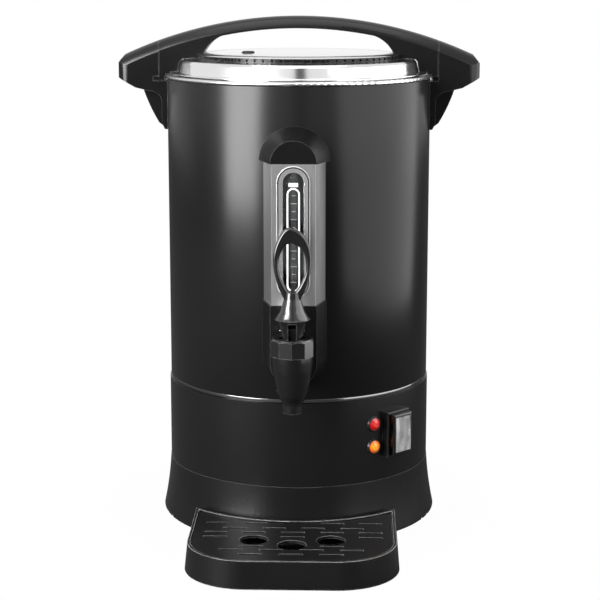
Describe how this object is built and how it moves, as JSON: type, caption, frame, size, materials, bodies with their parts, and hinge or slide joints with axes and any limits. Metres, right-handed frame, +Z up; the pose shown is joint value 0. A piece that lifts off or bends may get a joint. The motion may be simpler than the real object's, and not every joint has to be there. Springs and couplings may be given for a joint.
{
  "type": "coffee urn",
  "caption": "Double-walled percolator urn with a twist-lock lid and arch handle, a sight gauge, a lever tap, a covered rocker switch, lamps and a slide-out drip tray.",
  "frame": {"origin": "middle of the footprint on the surface the urn stands on, half way between the drip tray's front and the power inlet's face", "axes": "+Z up, +X to the right as seen from the front, -Y towards the front where the tap is"},
  "size_m": [0.308, 0.3438, 0.4323],
  "materials": {
    "black_plastic": "satin",
    "grille_plastic": "matte",
    "black_enamel": "satin",
    "bright_steel": "polished",
    "brushed_steel": "brushed",
    "zinc_plate": "satin",
    "dark_plate": "matte",
    "seal_rubber": "matte",
    "clear_plastic": "gloss",
    "gauge_glass": "gloss",
    "pale_plastic": "matte",
    "brass_pins": "satin",
    "red_lens": "gloss",
    "amber_lens": "gloss"
  },
  "bodies": {
    "urn": {"base_skirt": "black_plastic", "bottom_plate": "zinc_plate", "base_housing": "black_enamel", "seam_ring": "bright_steel", "outer_jacket": "black_enamel", "inner_vessel": "brushed_steel", "side_handle_right": "black_plastic", "side_handle_left": "black_plastic", "handle_screws": "bright_steel", "gauge_cover": "bright_steel", "gauge_frame": "bright_steel", "gauge_lens": "clear_plastic", "gauge_backplate": "dark_plate", "gauge_tube": "gauge_glass", "gauge_tee": "black_plastic", "gauge_seal_lower": "seal_rubber", "gauge_seal_upper": "seal_rubber", "gauge_cap": "black_plastic", "tap_fairing": "black_plastic", "tap_body": "black_plastic", "tap_collar": "black_plastic", "tap_spring": "brushed_steel", "tap_gasket": "seal_rubber", "tap_nut": "brushed_steel", "switch_bezel": "black_plastic", "switch_cover": "clear_plastic", "power_inlet": "black_plastic", "inlet_pins": "brass_pins", "heating_element": "brushed_steel", "thermostat": "zinc_plate", "thermal_cutout": "zinc_plate", "terminal_block": "pale_plastic", "pump_tube": "brushed_steel", "coffee_basket": "brushed_steel", "basket_spreader": "brushed_steel", "lamp_bezel_heating": "black_plastic", "lamp_lens_heating": "red_lens", "lamp_bezel_ready": "black_plastic", "lamp_lens_ready": "amber_lens", "foot_1": "seal_rubber", "foot_2": "seal_rubber", "foot_3": "seal_rubber", "foot_4": "seal_rubber"},
    "lid": {"lid_pan": "bright_steel", "lid_vent_ring": "black_plastic", "lid_top": "bright_steel", "lid_handle": "black_plastic", "lid_seal": "seal_rubber", "lid_screws": "bright_steel"},
    "stem": {"tap_stem": "black_plastic", "tap_seat": "seal_rubber", "tap_pin": "bright_steel"},
    "lever": {"tap_lever": "black_plastic"},
    "rocker": {"switch_rocker": "black_plastic"},
    "tray": {"drip_tray": "black_plastic"},
    "grille": {"drip_grille": "grille_plastic"}
  },
  "joints": [
    {"name": "lid_turn", "type": "hinge", "parent": "urn", "child": "lid", "pos_m": [0, 0.0541, 0.384], "axis": [0, 0, 1], "range_deg": [0, 28]},
    {"name": "stem_lift", "type": "slide", "parent": "urn", "child": "stem", "axis": [0, 0, 1], "range_m": [0, 0.007], "deforming": ["tap_spring"]},
    {"name": "lever_tilt", "type": "hinge", "parent": "stem", "child": "lever", "pos_m": [0, -0.1059, 0.193], "axis": [1, 0, 0], "range_deg": [0, 45], "stiffness_Nm_per_rad": 0.6, "springref_deg": -5.73},
    {"name": "rocker_press", "type": "hinge", "parent": "urn", "child": "rocker", "pos_m": [0.08232, -0.02375, 0.0888], "axis": [0.6871, 0.7266, 0], "range_deg": [0, 16]},
    {"name": "tray_slide", "type": "slide", "parent": "urn", "child": "tray", "axis": [0, -1, 0], "range_m": [0, 0.1]},
    {"name": "grille_lift", "type": "slide", "parent": "tray", "child": "grille", "axis": [0, 0, 1], "range_m": [0, 0.03]}
  ],
  "couplings": [
    {"joint": "stem_lift", "follows": "lever_tilt", "m_per_rad": 0.0085}
  ]
}
